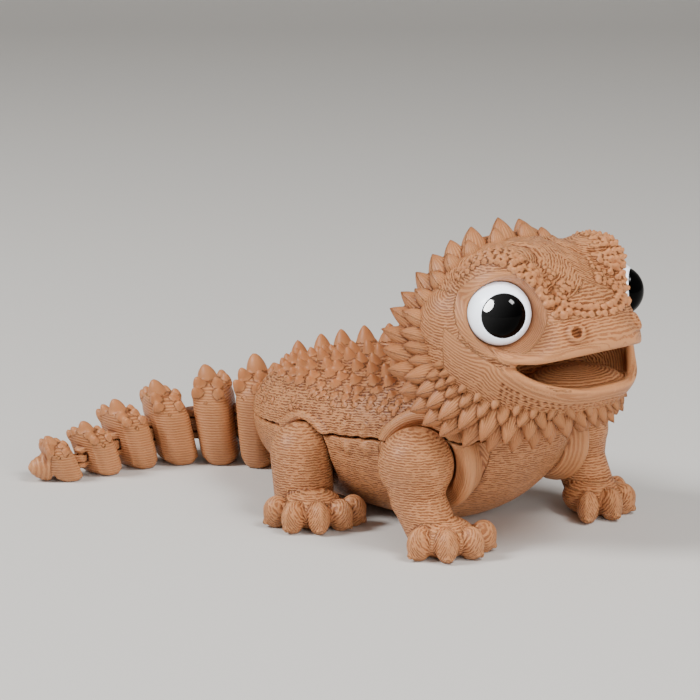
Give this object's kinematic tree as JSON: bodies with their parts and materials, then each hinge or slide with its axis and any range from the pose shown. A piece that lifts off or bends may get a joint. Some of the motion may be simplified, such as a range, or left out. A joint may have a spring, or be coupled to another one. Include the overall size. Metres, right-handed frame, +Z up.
{
  "type": "articulated bearded dragon toy",
  "caption": "Printed-in-place bearded dragon toy with spiny frill, domed eyes, open smiling mouth, ball-jointed legs and a tail of linked drums that lies in a curve.",
  "frame": {"origin": "centre of the flat under the belly, on the surface that the toy stands on", "axes": "+X towards the head, +Y to the animal's left, +Z up"},
  "size_m": [0.1561, 0.1092, 0.0779],
  "materials": {
    "tan_plastic": "satin printed plastic with fine layer lines",
    "eye_white": "smooth gloss",
    "pupil_black": "polished gloss"
  },
  "bodies": {
    "torso": {"back_shell": "tan_plastic", "belly": "tan_plastic"},
    "head": {"head": "tan_plastic", "crown_left": "tan_plastic", "crown_right": "tan_plastic", "beard_left": "tan_plastic", "beard_right": "tan_plastic", "eye_left": "eye_white", "eye_right": "eye_white", "pupil_left": "pupil_black", "pupil_right": "pupil_black"},
    "rear_leg_left": {"rear_leg_left": "tan_plastic"},
    "rear_leg_right": {"rear_leg_right": "tan_plastic"},
    "front_leg_left": {"front_leg_left": "tan_plastic"},
    "front_leg_right": {"front_leg_right": "tan_plastic"},
    "tail_1": {"tail_1": "tan_plastic"},
    "tail_2": {"tail_2": "tan_plastic"},
    "tail_3": {"tail_3": "tan_plastic"},
    "tail_4": {"tail_4": "tan_plastic"},
    "tail_5": {"tail_5": "tan_plastic"},
    "tail_6": {"tail_6": "tan_plastic"}
  },
  "joints": [
    {"name": "head_turn", "type": "hinge", "parent": "torso", "child": "head", "pos_m": [0.031, 0, 0.047], "axis": [0, 0, 1], "range_deg": [-10, 10]},
    {"name": "rear_leg_left_swing", "type": "hinge", "parent": "torso", "child": "rear_leg_left", "pos_m": [-0.008, 0.0135, 0.0154], "axis": [0, 1, 0], "range_deg": [-10, 20]},
    {"name": "rear_leg_right_swing", "type": "hinge", "parent": "torso", "child": "rear_leg_right", "pos_m": [-0.008, -0.0135, 0.0154], "axis": [0, 1, 0], "range_deg": [-10, 20]},
    {"name": "front_leg_left_swing", "type": "hinge", "parent": "torso", "child": "front_leg_left", "pos_m": [0.0314, 0.0115, 0.0205], "axis": [0, 1, 0], "range_deg": [-20, 20]},
    {"name": "front_leg_right_swing", "type": "hinge", "parent": "torso", "child": "front_leg_right", "pos_m": [0.0314, -0.0115, 0.0205], "axis": [0, 1, 0], "range_deg": [-20, 20]},
    {"name": "tail_1_bend", "type": "hinge", "parent": "torso", "child": "tail_1", "pos_m": [-0.0485, 0, 0.01], "axis": [0, 0, 1], "range_deg": [-58, 4]},
    {"name": "tail_2_bend", "type": "hinge", "parent": "tail_1", "child": "tail_2", "pos_m": [-0.05973, -0.00572, 0.01], "axis": [0, 0, 1], "range_deg": [-47, 15]},
    {"name": "tail_3_bend", "type": "hinge", "parent": "tail_2", "child": "tail_3", "pos_m": [-0.06938, -0.01472, 0.01], "axis": [0, 0, 1], "range_deg": [-55, 7]},
    {"name": "tail_4_bend", "type": "hinge", "parent": "tail_3", "child": "tail_4", "pos_m": [-0.07454, -0.02687, 0.01], "axis": [0, 0, 1], "range_deg": [-52, 10]},
    {"name": "tail_5_bend", "type": "hinge", "parent": "tail_4", "child": "tail_5", "pos_m": [-0.07494, -0.03847, 0.01], "axis": [0, 0, 1], "range_deg": [-36, 26]},
    {"name": "tail_6_bend", "type": "hinge", "parent": "tail_5", "child": "tail_6", "pos_m": [-0.07437, -0.04935, 0.01], "axis": [0, 0, 1], "range_deg": [-6, 56]}
  ]
}
